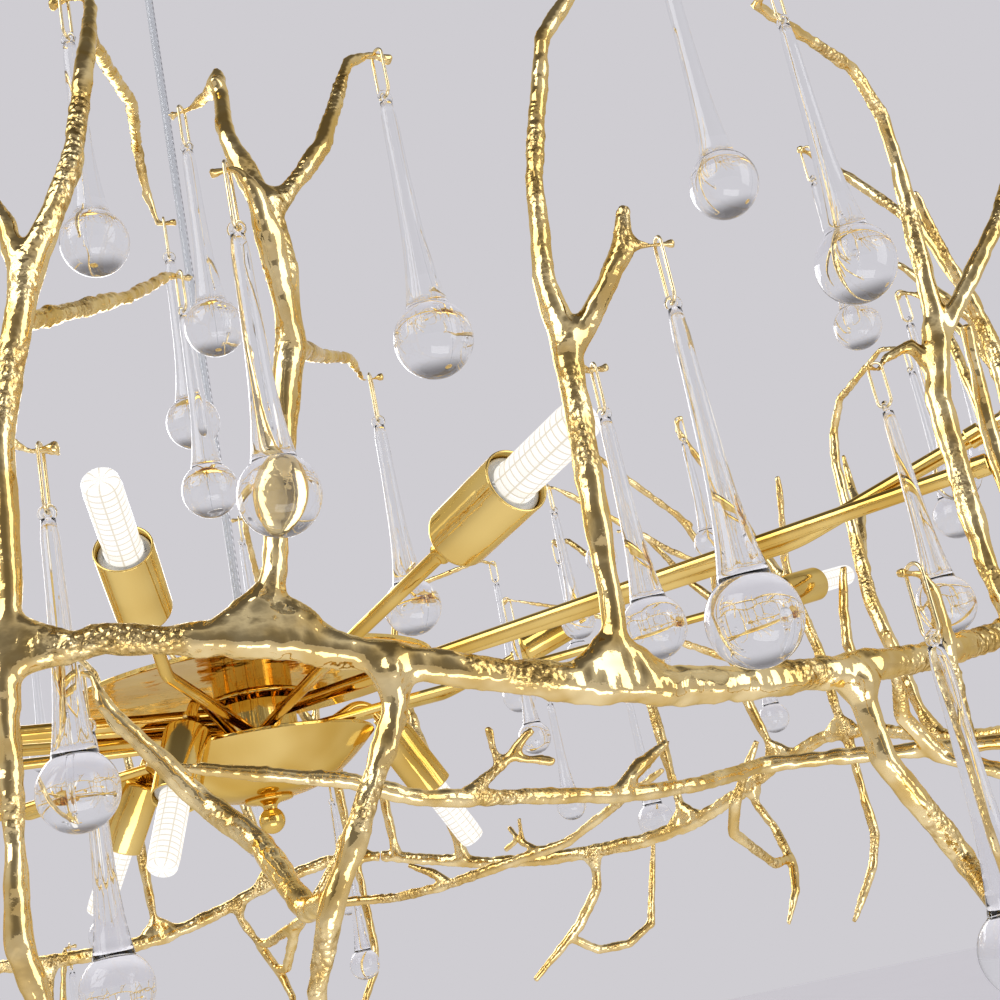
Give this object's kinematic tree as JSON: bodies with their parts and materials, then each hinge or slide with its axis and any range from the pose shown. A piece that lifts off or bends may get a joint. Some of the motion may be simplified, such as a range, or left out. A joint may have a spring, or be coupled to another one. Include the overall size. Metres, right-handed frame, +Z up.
{
  "type": "chandelier",
  "caption": "Round chandelier with a cast branch cage, hanging clear glass drops and capsule lamps on tube arms, on a steel wire and clear cord",
  "frame": {"origin": "centre of the ceiling crossbar on its upper face, where it meets the ceiling", "axes": "+Z up toward the ceiling, the hub axis runs down -Z, -Y toward the front of the picture, +X to its right"},
  "size_m": [1.0336, 0.9878, 0.9185],
  "materials": {
    "cast_gold": "polished pale gold plating over a pebbled casting",
    "polished_gold": "mirror-polished gold plating",
    "wire_gold": "pale gold wire",
    "clear_glass": "clear solid glass, drawn and fire-polished",
    "steel": "bright zinc-plated or stainless steel",
    "clear_sheath": "clear PVC sheath",
    "socket": "pale grey glazed lampholder",
    "bulb": "lit capsule lamp, white frosted cover"
  },
  "bodies": {
    "fixture": {"ceiling_crossbar": "steel", "canopy": "polished_gold", "canopy_screws": "polished_gold", "suspension_wire": "steel", "supply_cord": "clear_sheath", "cord_grips": "polished_gold", "hub_upper_plate": "polished_gold", "hub_column": "polished_gold", "hub_lower_dish": "polished_gold", "finial": "polished_gold", "cage_arms": "polished_gold", "lamp_arms": "polished_gold", "lamp_sleeves": "polished_gold", "neck_screws": "steel", "lamp_sockets": "socket", "socket_screws": "steel", "bulbs": "bulb", "branch_panel_1": "cast_gold", "branch_panel_2": "cast_gold", "branch_panel_3": "cast_gold", "branch_panel_4": "cast_gold", "branch_panel_5": "cast_gold", "branch_panel_6": "cast_gold", "drop_links": "wire_gold"},
    "crown_drops_1": {"crown_drops_1": "clear_glass"},
    "crown_drops_2": {"crown_drops_2": "clear_glass"},
    "crown_drops_3": {"crown_drops_3": "clear_glass"},
    "crown_drops_4": {"crown_drops_4": "clear_glass"},
    "crown_drops_5": {"crown_drops_5": "clear_glass"},
    "crown_drops_6": {"crown_drops_6": "clear_glass"},
    "post_drops_1": {"post_drops_1": "clear_glass"},
    "post_drops_2": {"post_drops_2": "clear_glass"},
    "post_drops_3": {"post_drops_3": "clear_glass"},
    "post_drops_4": {"post_drops_4": "clear_glass"},
    "post_drops_5": {"post_drops_5": "clear_glass"},
    "post_drops_6": {"post_drops_6": "clear_glass"},
    "fork_drops_1": {"fork_drops_1": "clear_glass"},
    "fork_drops_2": {"fork_drops_2": "clear_glass"},
    "fork_drops_3": {"fork_drops_3": "clear_glass"},
    "fork_drops_4": {"fork_drops_4": "clear_glass"},
    "fork_drops_5": {"fork_drops_5": "clear_glass"},
    "fork_drops_6": {"fork_drops_6": "clear_glass"},
    "top_drops_1": {"top_drops_1": "clear_glass"},
    "top_drops_2": {"top_drops_2": "clear_glass"},
    "top_drops_3": {"top_drops_3": "clear_glass"},
    "top_drops_4": {"top_drops_4": "clear_glass"},
    "top_drops_5": {"top_drops_5": "clear_glass"},
    "top_drops_6": {"top_drops_6": "clear_glass"},
    "large_drops_1": {"large_drops_1": "clear_glass"},
    "large_drops_2": {"large_drops_2": "clear_glass"},
    "large_drops_3": {"large_drops_3": "clear_glass"},
    "large_drops_4": {"large_drops_4": "clear_glass"},
    "large_drops_5": {"large_drops_5": "clear_glass"},
    "large_drops_6": {"large_drops_6": "clear_glass"},
    "inner_drops": {"inner_drops": "clear_glass"},
    "side_drops": {"side_drops": "clear_glass"},
    "outer_drops": {"outer_drops": "clear_glass"},
    "low_drops": {"low_drops": "clear_glass"},
    "rim_drops": {"rim_drops": "clear_glass"}
  },
  "joints": [
    {"name": "crown_drops_1_swing", "type": "hinge", "parent": "fixture", "child": "crown_drops_1", "pos_m": [0.04494, -0.38841, -0.536], "axis": [0.2444, 0.9697, 0], "range_deg": [-12, 12]},
    {"name": "crown_drops_2_swing", "type": "hinge", "parent": "fixture", "child": "crown_drops_2", "pos_m": [0.35884, -0.15529, -0.536], "axis": [-0.7175, 0.6965, 0], "range_deg": [-12, 12]},
    {"name": "crown_drops_3_swing", "type": "hinge", "parent": "fixture", "child": "crown_drops_3", "pos_m": [0.3139, 0.23312, -0.536], "axis": [-0.962, -0.2732, 0], "range_deg": [-12, 12]},
    {"name": "crown_drops_4_swing", "type": "hinge", "parent": "fixture", "child": "crown_drops_4", "pos_m": [-0.04494, 0.38841, -0.536], "axis": [-0.2444, -0.9697, 0], "range_deg": [-12, 12]},
    {"name": "crown_drops_5_swing", "type": "hinge", "parent": "fixture", "child": "crown_drops_5", "pos_m": [-0.35884, 0.15529, -0.536], "axis": [0.7175, -0.6965, 0], "range_deg": [-12, 12]},
    {"name": "crown_drops_6_swing", "type": "hinge", "parent": "fixture", "child": "crown_drops_6", "pos_m": [-0.3139, -0.23312, -0.536], "axis": [0.962, 0.2732, 0], "range_deg": [-12, 12]},
    {"name": "post_drops_1_swing", "type": "hinge", "parent": "fixture", "child": "post_drops_1", "pos_m": [0.10505, -0.45503, -0.664], "axis": [0.0723, 0.996, 0.0528], "range_deg": [-12, 12]},
    {"name": "post_drops_2_swing", "type": "hinge", "parent": "fixture", "child": "post_drops_2", "pos_m": [0.44659, -0.13654, -0.664], "axis": [-0.8264, 0.5606, 0.0528], "range_deg": [-12, 12]},
    {"name": "post_drops_3_swing", "type": "hinge", "parent": "fixture", "child": "post_drops_3", "pos_m": [0.34154, 0.31849, -0.664], "axis": [-0.8987, -0.4354, 0.0528], "range_deg": [-12, 12]},
    {"name": "post_drops_4_swing", "type": "hinge", "parent": "fixture", "child": "post_drops_4", "pos_m": [-0.10505, 0.45503, -0.664], "axis": [-0.0723, -0.996, 0.0528], "range_deg": [-12, 12]},
    {"name": "post_drops_5_swing", "type": "hinge", "parent": "fixture", "child": "post_drops_5", "pos_m": [-0.44659, 0.13654, -0.664], "axis": [0.8264, -0.5606, 0.0528], "range_deg": [-12, 12]},
    {"name": "post_drops_6_swing", "type": "hinge", "parent": "fixture", "child": "post_drops_6", "pos_m": [-0.34154, -0.31849, -0.664], "axis": [0.8987, 0.4354, 0.0528], "range_deg": [-12, 12]},
    {"name": "fork_drops_1_swing", "type": "hinge", "parent": "fixture", "child": "fork_drops_1", "pos_m": [0.15424, -0.38958, -0.588], "axis": [-0.6394, 0.7689, 0], "range_deg": [-12, 12]},
    {"name": "fork_drops_2_swing", "type": "hinge", "parent": "fixture", "child": "fork_drops_2", "pos_m": [0.41451, -0.06121, -0.588], "axis": [-0.9856, -0.1693, 0], "range_deg": [-12, 12]},
    {"name": "fork_drops_3_swing", "type": "hinge", "parent": "fixture", "child": "fork_drops_3", "pos_m": [0.26026, 0.32837, -0.588], "axis": [-0.3462, -0.9382, 0], "range_deg": [-12, 12]},
    {"name": "fork_drops_4_swing", "type": "hinge", "parent": "fixture", "child": "fork_drops_4", "pos_m": [-0.15424, 0.38958, -0.588], "axis": [0.6394, -0.7689, 0], "range_deg": [-12, 12]},
    {"name": "fork_drops_5_swing", "type": "hinge", "parent": "fixture", "child": "fork_drops_5", "pos_m": [-0.41451, 0.06121, -0.588], "axis": [0.9856, 0.1693, 0], "range_deg": [-12, 12]},
    {"name": "fork_drops_6_swing", "type": "hinge", "parent": "fixture", "child": "fork_drops_6", "pos_m": [-0.26026, -0.32837, -0.588], "axis": [0.3462, 0.9382, 0], "range_deg": [-12, 12]},
    {"name": "top_drops_1_swing", "type": "hinge", "parent": "fixture", "child": "top_drops_1", "pos_m": [0.26226, -0.38882, -0.564], "axis": [0.7595, 0.6505, 0], "range_deg": [-12, 12]},
    {"name": "top_drops_2_swing", "type": "hinge", "parent": "fixture", "child": "top_drops_2", "pos_m": [0.46786, 0.03272, -0.564], "axis": [-0.1836, 0.983, 0], "range_deg": [-12, 12]},
    {"name": "top_drops_3_swing", "type": "hinge", "parent": "fixture", "child": "top_drops_3", "pos_m": [0.2056, 0.42153, -0.564], "axis": [-0.9431, 0.3325, 0], "range_deg": [-12, 12]},
    {"name": "top_drops_4_swing", "type": "hinge", "parent": "fixture", "child": "top_drops_4", "pos_m": [-0.26226, 0.38882, -0.564], "axis": [-0.7595, -0.6505, 0], "range_deg": [-12, 12]},
    {"name": "top_drops_5_swing", "type": "hinge", "parent": "fixture", "child": "top_drops_5", "pos_m": [-0.46786, -0.03272, -0.564], "axis": [0.1836, -0.983, 0], "range_deg": [-12, 12]},
    {"name": "top_drops_6_swing", "type": "hinge", "parent": "fixture", "child": "top_drops_6", "pos_m": [-0.2056, -0.42153, -0.564], "axis": [0.9431, -0.3325, 0], "range_deg": [-12, 12]},
    {"name": "large_drops_1_swing", "type": "hinge", "parent": "fixture", "child": "large_drops_1", "pos_m": [0.23215, -0.40866, -0.696], "axis": [-0.2367, 0.9716, 0], "range_deg": [-12, 9]},
    {"name": "large_drops_2_swing", "type": "hinge", "parent": "fixture", "child": "large_drops_2", "pos_m": [0.46999, -0.00328, -0.696], "axis": [-0.9598, 0.2808, 0], "range_deg": [-12, 9]},
    {"name": "large_drops_3_swing", "type": "hinge", "parent": "fixture", "child": "large_drops_3", "pos_m": [0.23784, 0.40538, -0.696], "axis": [-0.723, -0.6908, 0], "range_deg": [-12, 9]},
    {"name": "large_drops_4_swing", "type": "hinge", "parent": "fixture", "child": "large_drops_4", "pos_m": [-0.23215, 0.40866, -0.696], "axis": [0.2367, -0.9716, 0], "range_deg": [-12, 9]},
    {"name": "large_drops_5_swing", "type": "hinge", "parent": "fixture", "child": "large_drops_5", "pos_m": [-0.46999, 0.00328, -0.696], "axis": [0.9598, -0.2808, 0], "range_deg": [-12, 9]},
    {"name": "large_drops_6_swing", "type": "hinge", "parent": "fixture", "child": "large_drops_6", "pos_m": [-0.23784, -0.40538, -0.696], "axis": [0.723, 0.6908, 0], "range_deg": [-12, 9]},
    {"name": "inner_drops_swing", "type": "hinge", "parent": "fixture", "child": "inner_drops", "pos_m": [0.03629, -0.22914, -0.544], "axis": [0.1564, -0.9877, 0], "range_deg": [-12, 12]},
    {"name": "side_drops_swing", "type": "hinge", "parent": "fixture", "child": "side_drops", "pos_m": [0.32729, -0.27269, -0.702], "axis": [0.7683, -0.6401, 0], "range_deg": [-12, 12]},
    {"name": "outer_drops_swing", "type": "hinge", "parent": "fixture", "child": "outer_drops", "pos_m": [0.2742, -0.43711, -0.822], "axis": [0.5314, -0.8471, 0], "range_deg": [-12, 12]},
    {"name": "low_drops_swing", "type": "hinge", "parent": "fixture", "child": "low_drops", "pos_m": [0.01597, -0.36565, -0.783], "axis": [0.0436, -0.999, 0], "range_deg": [-12, 12]},
    {"name": "rim_drops_swing", "type": "hinge", "parent": "fixture", "child": "rim_drops", "pos_m": [0.0306, -0.4269, -0.729], "axis": [0.0715, -0.9974, 0], "range_deg": [-12, 12]}
  ]
}
